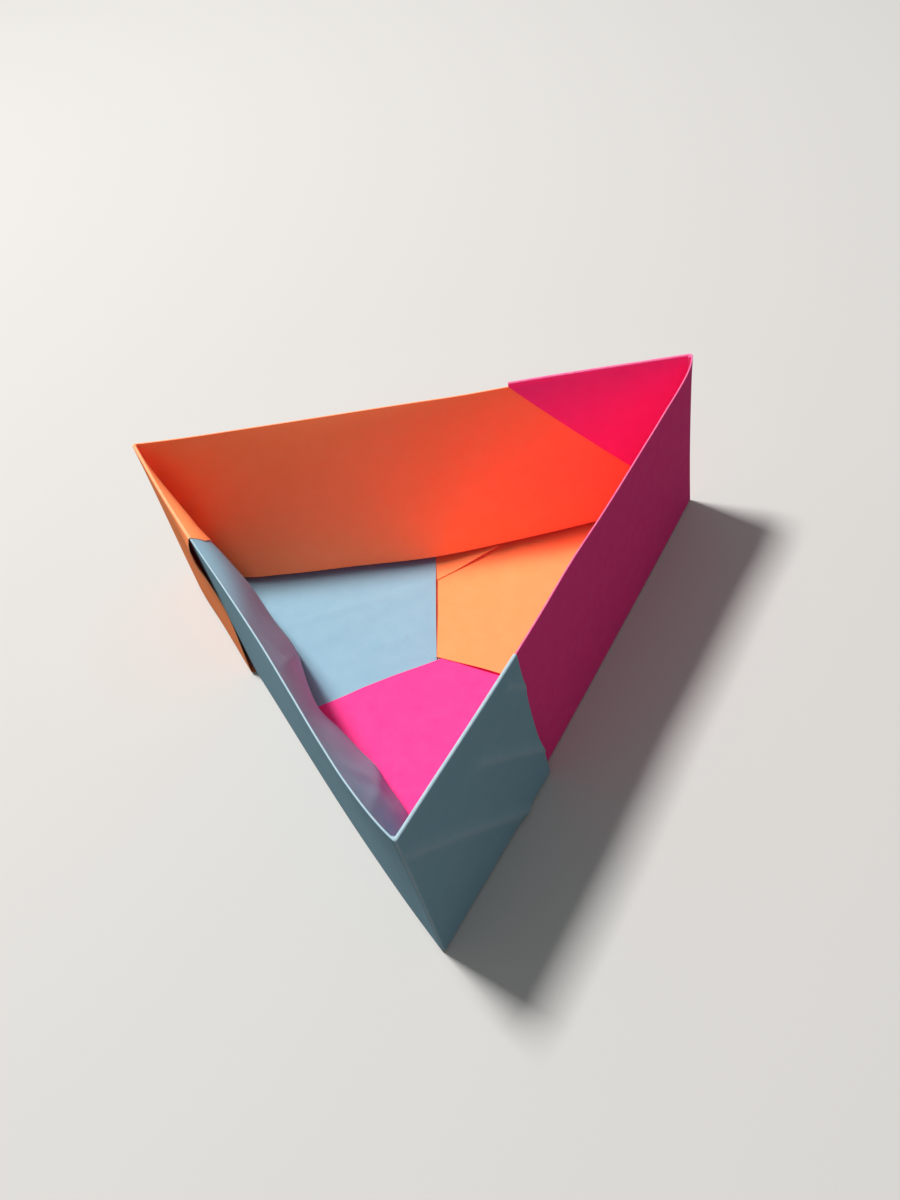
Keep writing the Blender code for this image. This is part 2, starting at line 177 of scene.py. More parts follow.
def lining_y(wall, x, z):
    """Plan offset of a wall's inner layer: straight down from the rim fold to the raw edge, whose
    line is lining_line, with a small belly half-way. The kinks of the raw edge run up the layer
    along its old diagonal folds, lining_slant sideways for each step up. Where the rim gapes, the
    layer first goes inwards by rim_gape * (1 - e^(-drop / RIM_SHOULDER)), and comes back on its way
    down. Its own fold lines go with the sine of the way down."""
    spring = rim_height(wall, x) - RIM_FOLD / 2.0
    top = wall_y(wall, x, spring) + RIM_FOLD
    slant = wall.lining_slant * ease((WALL_LENGTH - x) / SLANT_END)
    foot = smooth_through(wall.lining_line, x - slant * np.maximum(z - wall.lining_foot, 0.0))
    down = np.clip((spring - z) / (spring - wall.lining_foot), 0.0, 1.0)
    belly = LINING_BELLY * (foot - top) * np.sin(math.pi * down)
    drop = np.maximum(spring - z, 0.0)
    gape = smooth_through(wall.rim_gape, x) * (1.0 - np.exp(-drop / RIM_SHOULDER)) * (1.0 - down)
    bend = sum(crease(x, z, *line) for line in wall.lining_creases)
    bend = bend * np.sin(math.pi * np.clip(down, 0.0, LINING_FOLD_END))
    return top + (foot - top) * down + belly + gape + bend


OUTER_ROWS = 44  # points up the outer layer
FOLD_ROWS = 9  # over the rim
LINING_ROWS = 44  # and down the lining, closer together towards the rim
LINING_CROWDING = 1.5


def upright(outer_plan, lining_plan, foot, spring, rise, lining_foot):
    """One column of points for each station: up the outer layer, half a turn over the rim, down the
    lining. The rim's height is spring + rise * sin(turn), its plan place goes as 1 - cos(turn)."""
    share = np.linspace(0.0, 1.0, OUTER_ROWS)[:, None]
    z = foot + share * (spring - foot)
    outer = np.stack(np.broadcast_arrays(*outer_plan(z), z), axis=-1)
    share = np.linspace(0.0, 1.0, LINING_ROWS)[:, None] ** LINING_CROWDING
    z = spring + share * (lining_foot - spring)
    lining = np.stack(np.broadcast_arrays(*lining_plan(z), z), axis=-1)
    turn = np.linspace(0.0, math.pi, FOLD_ROWS + 2)[1:-1, None, None]
    fold = outer[-1] + (1.0 - np.cos(turn)) / 2.0 * (lining[0] - outer[-1])
    fold[..., 2] += rise * np.sin(turn[..., 0])
    return np.concatenate([outer, fold, lining])


def wall_grid(sheet, panel, stations):
    """The sheet's own wall: both layers follow wall_y and lining_y at each station."""
    share = (stations - WALL_START) / (OUTER_END - WALL_START)
    inner_x = WALL_START + share * (INNER_END - WALL_START)
    foot = base_height(panel, stations, wall_y(sheet, stations, 0.0) + FOOT_RADIUS) + FOOT_RADIUS
    return upright(
        lambda z: (stations, wall_y(sheet, stations, z)),
        lambda z: (inner_x, lining_y(sheet, inner_x, z)),
        foot,
        rim_height(sheet, stations) - RIM_FOLD / 2.0,
        RIM_FOLD / 2.0,
        np.full_like(stations, sheet.lining_foot),
    )


CORNER_COLUMNS = 8  # round the upright fold


def corner_grid(sheet):
    """The upright fold: both layers go 120 degrees round an arc, and the rim between them is half a
    turn whose radius is half the distance of the two arcs."""
    turn = np.linspace(0.0, 1.0, CORNER_COLUMNS + 2)[1:-1]
    angle = np.radians(-90.0 + 120.0 * turn)
    outward = np.array([np.cos(angle), np.sin(angle)])
    outer_centre = np.array(from_next(OUTER_CENTRE_X, OUTER_CENTRE_Y))
    inner_centre = np.array(from_next(INNER_CENTRE_X, INNER_CENTRE_Y))
    outer = outer_centre[:, None] + CORNER_RADIUS * outward
    inner = inner_centre[:, None] + CORNER_RADIUS * outward
    half_rim = (outer_centre - inner_centre) @ outward / 2.0
    foot = np.full_like(turn, TABLE + FOOT_RADIUS)
    lining_foot = np.full_like(turn, sheet.lining_foot)
    spring = RIM + sheet.corner_rise - half_rim
    return upright(lambda z: tuple(outer), lambda z: tuple(inner), foot, spring, half_rim, lining_foot)


def standoff(sheet, x, z):
    """How far the flap stands off the wall it covers: up its free edge that is standoff_line plus
    gape_line, and towards the corner the two fall as the distance and as its fourth power."""
    along = np.clip((x - WALL_START) / (FLAP_AT_FOOT - WALL_START), 0.0, 1.0)
    hold = along * smooth_through(sheet.standoff_line, z)
    return hold + along**4 * smooth_through(sheet.gape_line, z)


def flap_grid(sheet, following, share):
    """The flap: outside the next wall, over its rim at the height of the flap's own corner, and inside
    it as a triangle. The triangle's lower edge is straight, from the corner's foot to tip_drop below
    the rim at the flap's end."""
    at_rim = WALL_START + share * (FLAP_AT_RIM - WALL_START)
    at_foot = WALL_START + share * (FLAP_AT_FOOT - WALL_START)
    lined = INNER_CENTRE_X + share * (FLAP_AT_RIM - INNER_CENTRE_X)
    half_roof = RIM_FOLD / 2.0 + OVER
    spring = RIM + sheet.corner_rise - half_roof

    def outer(z):
        x = at_foot + (at_rim - at_foot) * np.clip(z / spring, 0.0, 1.0)
        bump = sum(crease(x, z, *line) for line in sheet.flap_creases)
        return from_next(x, wall_y(following, x, z) - OVER - standoff(sheet, x, z) - bump)

    def lining(z):
        return from_next(lined, lining_y(following, lined, z) + OVER)

    foot = TABLE + FOOT_RADIUS + FOOT_SOFTNESS * standoff(sheet, at_foot, 0.0)
    folded_edge = sheet.lining_foot + (spring - sheet.tip_drop - sheet.lining_foot) * share
    return upright(outer, lining, foot, spring, half_roof, folded_edge)


def base_plan(sheet, following):
    """The points and angles of a base panel. The three panels turn about the point where the seams
    meet, and each runs from its own seam, through its own third, to under the next one. Its free edge
    is two straight lines that meet at bend, and at shoulder it comes to the wall before its own."""
    shift = turned(0.0, -CENTRE_SHIFT, -sheet.turn)
    plan = SimpleNamespace(centre=(WALL_LENGTH / 2.0 + shift[0], APOTHEM + shift[1]), turn=sheet.turn)
    own_end = WALL_LENGTH / 2.0 + sheet.seam_shift
    plan.seam_end = (own_end / 2.0, own_end * SIN60)
    next_end = (WALL_LENGTH / 2.0 - following.seam_shift, 0.0)
    dx, dy = plan.seam_end[0] - plan.centre[0], plan.seam_end[1] - plan.centre[1]
    plan.seam_angle = math.atan2(dy, dx)
    plan.seam_length = math.hypot(dx, dy) - SEAM_ARCH_END
    plan.climb_start = sweep(plan, 0.0, 0.0) + CLIMB_MARGIN
    plan.climb_end = sweep(plan, *next_end) - CLIMB_MARGIN
    plan.far_sweep = sweep(plan, WALL_LENGTH, 0.0)
    inward = plan.seam_angle + plan.far_sweep / 2.0
    plan.bend = (
        plan.centre[0] + CENTRE_RELIEF * math.cos(inward),
        plan.centre[1] + CENTRE_RELIEF * math.sin(inward),
    )
    plan.near_slope = (plan.bend[1] - plan.seam_end[1]) / (plan.bend[0] - plan.seam_end[0])
    plan.far_slope = plan.bend[1] / (plan.bend[0] - WALL_LENGTH)
    plan.shoulder = (plan.seam_end[1] - plan.near_slope * plan.seam_end[0] + 2.0 * OVER) / (
        TAN60 - plan.near_slope
    )
    plan.creases = sheet.base_creases
    return plan


def sweep(plan, x, y):
    """Angle about the point where the seams meet, counted from the panel's own seam."""
    return np.mod(np.arctan2(y - plan.centre[1], x - plan.centre[0]) - plan.seam_angle, 2.0 * math.pi)


def base_depth(plan, x):
    """How far the panel reaches from its wall: to its free edge, or to the wall before it."""
    edge = np.where(
        x < plan.bend[0],
        plan.seam_end[1] + plan.near_slope * (x - plan.seam_end[0]),
        plan.far_slope * (x - WALL_LENGTH),
    )
    return np.minimum(edge, TAN60 * x - 2.0 * OVER)


BEFORE_SEAM = math.radians(45.0)  # a sweep this far past the panel's end lies before its own seam
SWELL = 0.00012  # the middle of the tray rises this much on average
SWELL_WAVES = (0.0085, 0.0070)  # lengths of its waves along the tray's x and y, divided by 2 pi
SWELL_PHASE = 1.0
SWELL_REACH = 0.020


def base_height(plan, x, y):
    """Height of a base panel: the table, one sheet more in its own third, a step over the tongue
    below it, an arch at its free edge, and a soft swell in the middle of the tray. The arch is
    sin^2(pi * way along the edge) * e^(-(distance from the edge / SEAM_ARCH_REACH)^2), and the swell
    is 1 + sin * cos of the two tray directions, with e^(-(distance from the middle / its reach)^2)."""
    angle = sweep(plan, x, y)
    lift = 1.0 - ease((angle - plan.climb_start) / (plan.climb_end - plan.climb_start))
    lift = np.where(angle > plan.far_sweep + BEFORE_SEAM, 1.0, lift)
    past_tongue = x - (FLAP_AT_FOOT + FLAP_SLANT * y) - SHEET_GAP
    step = 1.0 - ease(past_tongue / RIDGE_WIDTH)
    reach = np.hypot(x - plan.centre[0], y - plan.centre[1])
    along = np.clip(reach * np.cos(angle) / plan.seam_length, 0.0, 1.0)
    beside = reach * np.sin(angle) / SEAM_ARCH_REACH
    arch = SEAM_ARCH * np.sin(math.pi * along) ** 2 * np.exp(-(beside**2))
    arch = np.where(angle < plan.climb_start, arch, 0.0)
    tray_x, tray_y = turned(x - WALL_LENGTH / 2.0, y - APOTHEM, plan.turn)
    wave = np.sin(tray_x / SWELL_WAVES[0] + SWELL_PHASE) * np.cos(tray_y / SWELL_WAVES[1])
    swell = SWELL * (1.0 + wave) * np.exp(-(tray_x**2 + tray_y**2) / SWELL_REACH**2)
    old_folds = sum(crease(x, y, *line) for line in plan.creases)
    return TABLE + OVER * lift + DOUBLE * step + arch + swell + old_folds


FOOT_ROWS = 5  # points round the crease at a foot
BASE_ROWS = 84  # from the crease to the panel's edge, closer together towards the edge
BASE_CROWDING = 1.1
TONGUE_ROWS = 50


def base_grid(plan, stations, foot_points):
    """The base panel: round the foot crease by a quarter turn, then level to its edges, in rows that
    get closer towards the free edge."""
    turn = np.linspace(0.0, math.pi / 2.0, FOOT_ROWS)[:-1, None]
    arc_y = foot_points[:, 1] + FOOT_RADIUS * (1.0 - np.cos(turn))
    arc_z = foot_points[:, 2] - FOOT_RADIUS * np.sin(turn)
    arc = np.stack([np.broadcast_to(stations, arc_y.shape), arc_y, arc_z], axis=-1)
    near = foot_points[:, 1] + FOOT_RADIUS
    share = 1.0 - np.linspace(1.0, 0.0, BASE_ROWS)[:, None] ** BASE_CROWDING
    y = near + share * (base_depth(plan, stations) - near)
    level = np.stack([np.broadcast_to(stations, y.shape), y, base_height(plan, stations, y)], axis=-1)
    return np.concatenate([arc, level])


def tongue_grid(sheet, following, plan, share, foot_points):
    """The tongue: from the flap's foot under the next wall, level over the table and then up onto
    the sheet's own panel, as a share of that panel's height: the way in from the crease, over that
    way and the way left to the panel's edge. Its raw edge mirrors the flap's free edge in the crease
    between them, and its tip lifts with the cube of the way along the crease."""
    at_foot = WALL_START + share * (FLAP_AT_FOOT - WALL_START)
    radius = FOOT_RADIUS + FOOT_SOFTNESS * standoff(sheet, at_foot, 0.0)
    start_y = wall_y(following, at_foot, TABLE + radius) - OVER
    start_y -= standoff(sheet, at_foot, TABLE + radius)
    slant = FLAP_SLANT * at_foot / FLAP_AT_FOOT
    far_y = (TAN60 * at_foot - 2.0 * (FOOT_RADIUS + DOUBLE)) / (1.0 - TAN60 * slant)
    far_y = np.minimum(far_y, TONGUE_REACH * SIN60)
    turn = np.linspace(0.0, math.pi / 2.0, FOOT_ROWS)[:-1, None]
    arc_y = start_y + radius * (1.0 - np.cos(turn))
    arc_z = TABLE + radius * (1.0 - np.sin(turn))
    arc = np.stack([*from_next(np.broadcast_to(at_foot, arc_y.shape), arc_y), arc_z], axis=-1)
    arc[0] = foot_points
    near = start_y + radius
    y = near + np.linspace(0.0, 1.0, TONGUE_ROWS)[:, None] * (far_y - near)
    x, y_own = from_next(at_foot + slant * np.maximum(y, 0.0), y)
    run = math.dist(plan.centre, (WALL_LENGTH, 0.0))
    beyond = (WALL_LENGTH - plan.centre[0]) * (y_own - plan.centre[1])
    beyond = (beyond + plan.centre[1] * (x - plan.centre[0])) / run
    beyond = np.maximum(beyond - SHEET_GAP, 0.0)
    inside = np.maximum(y, 0.0)
    ramp = inside / np.maximum(inside + beyond, PAPER)
    z = TABLE + ramp * (base_height(plan, x, y_own) - TABLE + DOUBLE)
    tip = ease((y - TONGUE_BARE) / (TONGUE_REACH * SIN60 - TONGUE_BARE))
    z = z + sheet.tongue_lift * tip * (at_foot / FLAP_AT_FOOT) ** 3
    return np.concatenate([arc, np.stack([x, y_own, z], axis=-1)])


CORNER_PULLS = (  # plan place of a corner, and how far hands have drawn its rim outwards
    ((WALL_LENGTH / 2.0, APOTHEM), (0.00075, 0.00020)),
    ((0.0, -2.0 * APOTHEM), (-0.00020, -0.00060)),
)
PULL_REACH = 0.008


def drawn_out(x, y, z):
    """Plan points with the corners' rims drawn outwards. All sheets move alike: a corner's pull falls
    off as e^(-(distance / PULL_REACH)^2) around it, and as (z / rim)^2 down to its foot."""
    for corner, pull in CORNER_PULLS:
        away = np.hypot(x - corner[0], y - corner[1])
        near = np.exp(-((away / PULL_REACH) ** 2)) * (z / RIM) ** 2
        x, y = x + pull[0] * near, y + pull[1] * near
    return x, y


def running_length(points, axis):
    """Distance along the rows or columns of a grid, summed from the first point."""
    steps = np.linalg.norm(np.diff(points, axis=axis), axis=-1)
    start = np.zeros_like(np.take(steps, [0], axis=axis))
    return np.cumsum(np.concatenate([start, steps], axis=axis), axis=axis)


def grid_quads(shape, first):
    """Four point numbers for each quad of a grid whose points are numbered row by row."""
    rows, columns = shape
    corner = first + np.arange(rows - 1)[:, None] * columns + np.arange(columns - 1)
    around = [corner, corner + 1, corner + columns + 1, corner + columns]
    return np.stack(around, axis=-1).reshape(-1, 4)


FOOT_WEAR = 0.6
CORNER_WEAR = 0.8
# How much paler the flap's old fold lines are: wear, and a painted highlight as well.
OLD_FOLD_WEAR_AND_HIGHLIGHT = 0.7


def strip_wear_and_highlight(sheet, wall, corner, flap, share):
    """How worn the strip of wall, upright fold and flap is, from 0 to 1: over the rim and round the
    upright fold it goes as the sine of the turn, and the foot is worn as well. The flap's old fold
    lines are paler too, partly from wear and partly as a painted highlight in place of the shading of
    its facets."""
    rim_turn = np.linspace(0.0, math.pi, FOLD_ROWS + 2)[1:-1]
    row_wear = np.concatenate([np.zeros(OUTER_ROWS), np.sin(rim_turn), np.zeros(LINING_ROWS)])
    row_wear[0] = FOOT_WEAR
    corner_turn = np.linspace(0.0, math.pi, corner.shape[1] + 2)[1:-1]
    column_wear = [np.zeros(wall.shape[1]), np.sin(corner_turn), np.zeros(flap.shape[1])]
    wear_and_highlight = np.maximum(row_wear[:, None], CORNER_WEAR * np.concatenate(column_wear))
    flap_z = flap[:OUTER_ROWS, :, 2]
    flap_x = WALL_START + share * (FLAP_AT_FOOT - FLAP_SLANT * flap_z - WALL_START)
    # The flap's old fold lines come out paler: partly wear, partly a painted highlight in place of the
    # shading of its facets.
    old_folds = sum(
        crease(flap_x, flap_z, start, end, OLD_FOLD_WEAR_AND_HIGHLIGHT, width / 2.0)
        for start, end, _, width in sheet.flap_creases
    )
    on_flap = wear_and_highlight[:OUTER_ROWS, -len(share) :]
    on_flap[...] = np.maximum(on_flap, old_folds)
    return wear_and_highlight


def joined_mesh(name, grids, turn):
    """One mesh from grids of points, each with its points' two places on the flat sheet and their wear
    and painted highlight, turned to the sheet's place in the tray. The doubled points where grids meet
    are merged."""
    points = np.concatenate([grid.reshape(-1, 3) for grid, _, _, _ in grids])
    x, y = turned(points[:, 0] - WALL_LENGTH / 2.0, points[:, 1] - APOTHEM, turn)
    points = np.stack([*drawn_out(x, y, points[:, 2]), points[:, 2]], axis=-1)
    along, up, worn_and_highlight = (np.concatenate([grid[i].ravel() for grid in grids]) for i in (1, 2, 3))
    flat = np.stack([along, up, np.zeros_like(up)], axis=-1)
    firsts = np.cumsum([0] + [grid.shape[0] * grid.shape[1] for grid, _, _, _ in grids])
    quads = [grid_quads(grid[0].shape[:2], first) for grid, first in zip(grids, firsts)]
    mesh = bpy.data.meshes.new(name)
    mesh.from_pydata(points, [], np.concatenate(quads).tolist())
    mesh.attributes.new("sheet_place", "FLOAT_VECTOR", "POINT").data.foreach_set("vector", flat.ravel())
    mesh.attributes.new("fold_wear_and_highlight", "FLOAT", "POINT").data.foreach_set("value", worn_and_highlight)
    joined = bmesh.new()
    joined.from_mesh(mesh)
    bmesh.ops.remove_doubles(joined, verts=joined.verts, dist=PAPER / 100.0)
    joined.to_mesh(mesh)
    joined.free()
    return mesh


SHARP_ANGLE = math.radians(40.0)  # the cut edge keeps a sharp line on both sides


def thick_paper(name, mesh):
    """The finished object: half the paper's thickness on each side of the mesh, with the faces in the
    first material and the cut edge in the second."""
    mesh.materials.append(None)
    mesh.materials.append(None)
    piece = bpy.data.objects.new(name, mesh)
    bpy.context.scene.collection.objects.link(piece)
    thickness = piece.modifiers.new("Paper thickness", "SOLIDIFY")
    thickness.thickness = PAPER
    thickness.offset = 0.0
    thickness.use_even_offset = True
    thickness.material_offset_rim = 1
    evaluated = piece.evaluated_get(bpy.context.evaluated_depsgraph_get())
    thick = bpy.data.meshes.new_from_object(evaluated)
    piece.modifiers.clear()
    piece.data = thick
    thick.name = name
    thick.shade_smooth()
    thick.set_sharp_from_angle(angle=SHARP_ANGLE)
    return piece


WALL_COLUMNS = 150
FLAP_COLUMNS = 54
FLAP_FIRST = 0.06  # first of the even flap columns, as a share of the flap's length
MARK_SPACING = 0.0003  # no even column stands nearer than this to a marked one
BEND_STEPS = np.geomspace(0.0002, 0.004, 7)  # extra columns on both sides of the free edge's bend
ROUNDING = 1e-6


def fold_sheet(name, sheet, following):
    """Folds one sheet, whose flap grips the following one's wall, and returns the finished object. Its
    mesh has two attributes: sheet_place, a point's place on the flat sheet, summed as the distance
    along the folded paper, and a fold attribute, 1 on a fold and 0 beside it, which makes the paper
    paler: worn fibres on the folds, and along the flap's old fold lines a painted highlight as well."""
    plan = base_plan(sheet, following)
    marks = [plan.shoulder, plan.bend[0], OUTER_END - BASE_END]
    close = [plan.bend[0] - BEND_STEPS, plan.bend[0] + BEND_STEPS]
    stations = np.linspace(WALL_START, OUTER_END, WALL_COLUMNS)
    stations = stations[np.abs(stations[:, None] - marks).min(axis=1) > MARK_SPACING]
    stations = np.unique(np.concatenate([stations, marks, *close, [WALL_START, OUTER_END]]))
    share = np.linspace(FLAP_FIRST, 1.0, FLAP_COLUMNS)
    share = np.concatenate([[0.0, TONGUE_START / FLAP_AT_FOOT], share])
    wall = wall_grid(sheet, plan, stations)
    corner = corner_grid(sheet)
    flap = flap_grid(sheet, following, share)
    on_base = stations <= OUTER_END - BASE_END + ROUNDING
    base = base_grid(plan, stations[on_base], wall[0][on_base])
    tongue = tongue_grid(sheet, following, plan, share[1:], flap[0][1:])

    strip = np.concatenate([wall, corner, flap], axis=1)
    along = running_length(strip[0], 0)
    places = np.broadcast_to(along, strip.shape[:2])
    grids = [(strip, places, running_length(strip, 0), strip_wear_and_highlight(sheet, wall, corner, flap, share))]
    foot_wear = np.zeros(base.shape[0])
    foot_wear[: FOOT_ROWS - 1] = FOOT_WEAR
    for grid, place in ((base, along[: on_base.sum()]), (tongue, along[-len(share) + 1 :])):
        places = np.broadcast_to(place, grid.shape[:2])
        wear_and_highlight = np.broadcast_to(foot_wear[: grid.shape[0], None], grid.shape[:2])
        grids.append((grid[:, ::-1], places[:, ::-1], -running_length(grid, 0)[:, ::-1], wear_and_highlight))
    return thick_paper(name, joined_mesh(name, grids, sheet.turn))


def linear(hex_colour):
    """A colour from its sRGB hex value, with each channel taken to linear light: up to 0.04045 it is
    divided by 12.92, and above it becomes ((channel + 0.055) / 1.055)^2.4."""
    channels = np.array([int(hex_colour[i : i + 2], 16) for i in (1, 3, 5)]) / 255.0
    straight = np.where(channels <= 0.04045, channels / 12.92, ((channels + 0.055) / 1.055) ** 2.4)
    return (*straight.tolist(), 1.0)


def add_node(tree, kind, inputs=None, **settings):
    """Adds a node. Each entry of inputs is a value, or the socket that feeds that input."""
    made = tree.nodes.new("ShaderNode" + kind)
    for setting, value in settings.items():
        setattr(made, setting, value)
    for socket, value in (inputs or {}).items():
        if isinstance(value, bpy.types.NodeSocket):
            tree.links.new(value, made.inputs[socket])
        else:
            made.inputs[socket].default_value = value
    return made


SEE_THROUGH = 0.16  # share of the light that the thin sheet lets through


def dyed_paper(name, colour, shade, worn_and_highlight, glow, red_gain, phase):
    """Uncoated paper dyed through, from wood pulp laid on a wire: matt, with cloudy formation and short
    fibres along the sheet. It is paler on the folds, where fibres are broken open, and along the flap's
    old fold lines this paling is also a painted highlight. Light from behind comes through it in the
    deeper colour glow, because it crosses more of the dye. Its red is multiplied by red_gain, so that
    the sheet gives back more red than falls on it: a painted red glow, which makes its shaded faces
    redder."""
    material = bpy.data.materials.new(name)
    material.use_nodes = True
    tree = material.node_tree
    tree.nodes.clear()
    place = add_node(tree, "Attribute", attribute_name="sheet_place").outputs["Vector"]
    wear_and_highlight = add_node(tree, "Attribute", attribute_name="fold_wear_and_highlight").outputs["Fac"]
    moved = add_node(tree, "Mapping", {"Vector": place, "Location": (phase, 2.0 * phase, phase)})
    moved = moved.outputs["Vector"]

    # Formation: pulp settles in clouds about 3 mm across.
    clouds = add_node(tree, "TexNoise", {"Vector": moved, "Scale": 330.0, "Detail": 3.0})
    # Fibres: 1.1 mm long, 0.2 mm wide, drawn wider than the real 0.03 mm so that they show.
    stretched = add_node(tree, "Mapping", {"Vector": moved, "Scale": (1.0, 5.0, 1.0)})
    fibres = add_node(
        tree, "TexNoise", {"Vector": stretched.outputs["Vector"], "Scale": 900.0, "Detail": 4.0}
    )
    # Tooth: the wire's fine grain, 0.3 mm.
    tooth = add_node(tree, "TexNoise", {"Vector": moved, "Scale": 3300.0, "Detail": 2.0})
    # Cockle: the sheet isn't quite flat, in soft hills 12 mm across.
    cockle = add_node(tree, "TexNoise", {"Vector": moved, "Scale": 80.0, "Detail": 1.0})

    mottle = add_node(
        tree,
        "MapRange",
        {
            "Value": clouds.outputs["Fac"],
            "From Min": 0.3,
            "From Max": 0.7,
            "To Min": 0.0,
            "To Max": 0.35,
        },
    )
    streaks = add_node(
        tree,
        "MapRange",
        {
            "Value": fibres.outputs["Fac"],
            "From Min": 0.3,
            "From Max": 0.75,
            "To Min": 0.0,
            "To Max": 0.4,
        },
    )
    depth = add_node(
        tree, "Math", {0: mottle.outputs["Result"], 1: streaks.outputs["Result"]}, operation="ADD"
    )
    dye = add_node(
        tree,
        "Mix",
        {0: depth.outputs["Value"], 6: linear(colour), 7: linear(shade)},
        data_type="RGBA",
    )
    broken = add_node(
        tree,
        "MapRange",
        {
            "Value": fibres.outputs["Fac"],
            "From Min": 0.35,
            "From Max": 0.65,
            "To Min": 0.25,
            "To Max": 0.8,
        },
    )
    # Paler on the folds: fibres broken open, and along the flap's old fold lines also a painted
    # highlight.
    paling_share = add_node(
        tree, "Math", {0: wear_and_highlight, 1: broken.outputs["Result"]}, operation="MULTIPLY", use_clamp=True
    )
    surface_colour = add_node(
        tree,
        "Mix",
        {0: paling_share.outputs["Value"], 6: dye.outputs[2], 7: linear(worn_and_highlight)},
        data_type="RGBA",
    ).outputs[2]
    # Painted red glow: the colour's red is multiplied by red_gain, above 1 for pink and orange, so that
    # the paper gives back more red than falls on it and its shaded faces come out redder.
    red_glow_colour = add_node(
        tree,
        "Mix",
        {0: 1.0, 6: surface_colour, 7: (red_gain, 1.0, 1.0, 1.0)},
        data_type="RGBA",
        blend_type="MULTIPLY",
    ).outputs[2]

    grain = add_node(
        tree, "Bump", {"Height": tooth.outputs["Fac"], "Strength": 0.10, "Distance": 0.00003}
    )
    grain = add_node(
        tree,
        "Bump",
        {
            "Height": fibres.outputs["Fac"],
            "Strength": 0.35,
            "Distance": 0.00004,
            "Normal": grain.outputs["Normal"],
        },
    )
    grain = add_node(
        tree,
        "Bump",
        {
            "Height": cockle.outputs["Fac"],
            "Strength": 0.3,
            "Distance": 0.0003,
            "Normal": grain.outputs["Normal"],
        },
    )
    rough = add_node(
        tree,
        "MapRange",
        {
            "Value": clouds.outputs["Fac"],
            "From Min": 0.3,
            "From Max": 0.7,
            "To Min": 0.72,
            "To Max": 0.86,
        },
    )
    face = add_node(
        tree,
        "BsdfPrincipled",
        {
            "Base Color": red_glow_colour,
            "Roughness": rough.outputs["Result"],
            "Metallic": 0.0,
            "IOR": 1.47,
            "Specular IOR Level": 0.2,
            "Normal": grain.outputs["Normal"],
        },
    )
    through = add_node(
        tree, "BsdfTranslucent", {"Color": linear(glow), "Normal": grain.outputs["Normal"]}
    )
    mixed = add_node(
        tree, "MixShader", {0: SEE_THROUGH, 1: face.outputs["BSDF"], 2: through.outputs["BSDF"]}
    )
    add_node(tree, "OutputMaterial", {"Surface": mixed.outputs["Shader"]})
    return material


def cut_edge(name, colour):
    """The cut edge of dyed paper, sheared through its fibres: paler and rougher than the face."""
    material = bpy.data.materials.new(name)
    material.use_nodes = True
    tree = material.node_tree
    tree.nodes.clear()
    place = add_node(tree, "Attribute", attribute_name="sheet_place").outputs["Vector"]
    # Torn fibre ends, 0.4 mm apart along the cut.
    ends = add_node(tree, "TexNoise", {"Vector": place, "Scale": 2500.0, "Detail": 2.0})
    tone = add_node(
        tree,
        "MapRange",
        {
            "Value": ends.outputs["Fac"],
            "From Min": 0.3,
            "From Max": 0.7,
            "To Min": 0.0,
            "To Max": 0.25,
        },
    )
    dye = add_node(
        tree,
        "Mix",
        {0: tone.outputs["Result"], 6: linear(colour), 7: (1.0, 1.0, 1.0, 1.0)},
        data_type="RGBA",
    )
    face = add_node(
        tree,
        "BsdfPrincipled",
        {"Base Color": dye.outputs[2], "Roughness": 0.9, "Metallic": 0.0, "Specular IOR Level": 0.2},
    )
    add_node(tree, "OutputMaterial", {"Surface": face.outputs["BSDF"]})
    return material


